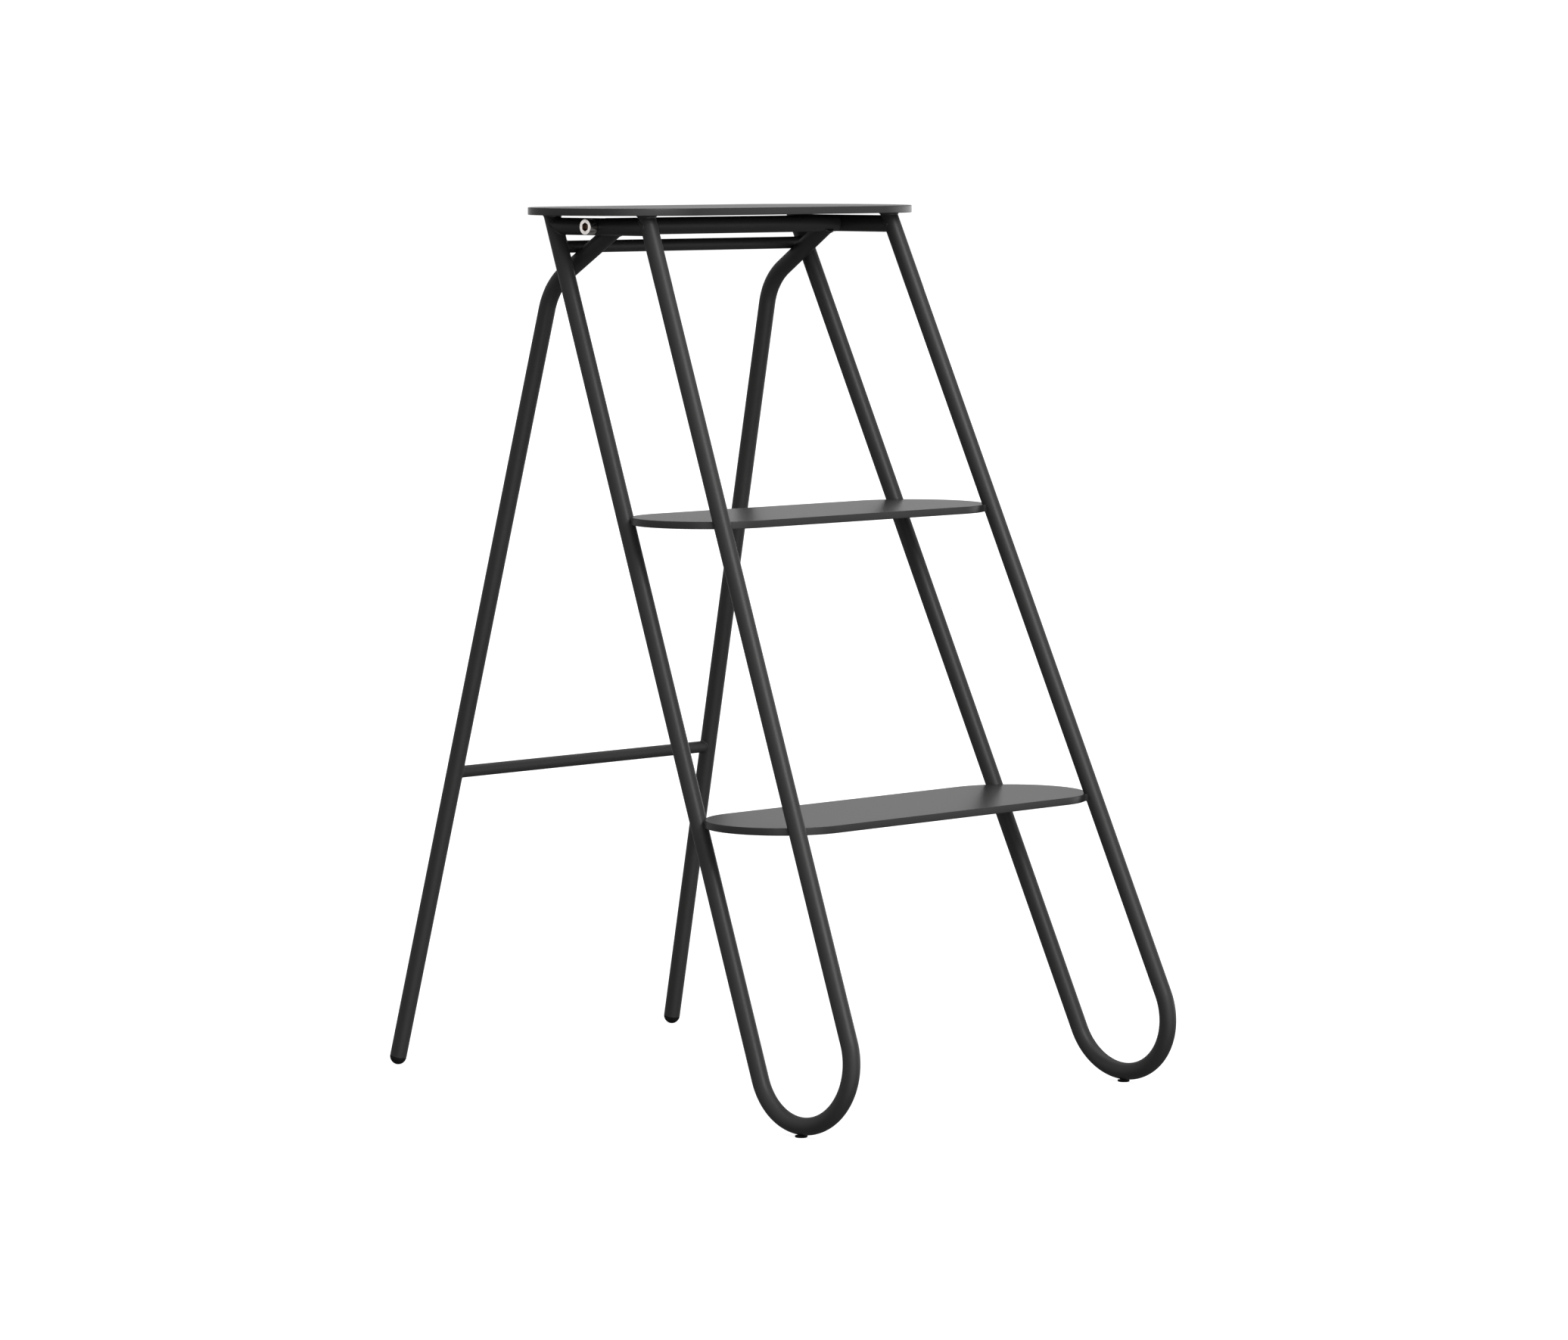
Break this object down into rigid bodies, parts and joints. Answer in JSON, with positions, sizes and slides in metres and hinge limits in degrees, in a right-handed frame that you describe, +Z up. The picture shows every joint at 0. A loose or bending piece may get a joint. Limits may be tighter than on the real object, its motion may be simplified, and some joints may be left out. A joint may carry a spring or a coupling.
{
  "type": "folding step ladder",
  "caption": "Folding step ladder of bent black steel tube with round-ended treads and a top platform; its rear frame swings shut on a hinge tube under the platform.",
  "frame": {"origin": "centre of the footprint's bounding box, on the floor", "axes": "+Z up, +X to the user's right when facing the steps, the user climbs from -Y towards +Y"},
  "size_m": [0.3978, 0.5629, 0.72],
  "materials": {
    "black_powder_coat": "satin black powder coat, fine texture",
    "rubber": "matt black",
    "nylon": "matt black nylon",
    "bolt_steel": "bright turned stainless steel"
  },
  "bodies": {
    "front_frame": {"platform": "black_powder_coat", "middle_tread": "black_powder_coat", "bottom_tread": "black_powder_coat", "hairpin_leg_left": "black_powder_coat", "hairpin_leg_right": "black_powder_coat", "fore_aft_rail_left": "black_powder_coat", "fore_aft_rail_right": "black_powder_coat", "stop_rail": "black_powder_coat", "foot_pad_left": "rubber", "foot_pad_right": "rubber", "hinge_bush_left": "nylon", "hinge_bush_right": "nylon"},
    "rear_frame": {"hinge_tube": "black_powder_coat", "rear_leg_left": "black_powder_coat", "rear_leg_right": "black_powder_coat", "rear_brace": "black_powder_coat", "rear_end_cap_left": "rubber", "rear_end_cap_right": "rubber", "threaded_insert_left": "bolt_steel", "threaded_insert_right": "bolt_steel", "pivot_bolt_left": "bolt_steel", "pivot_bolt_right": "bolt_steel"}
  },
  "joints": [
    {"name": "rear_frame_fold", "type": "hinge", "parent": "front_frame", "child": "rear_frame", "pos_m": [0, 0.05069, 0.70465], "axis": [-1, 0, 0], "range_deg": [0, 35.5]}
  ]
}
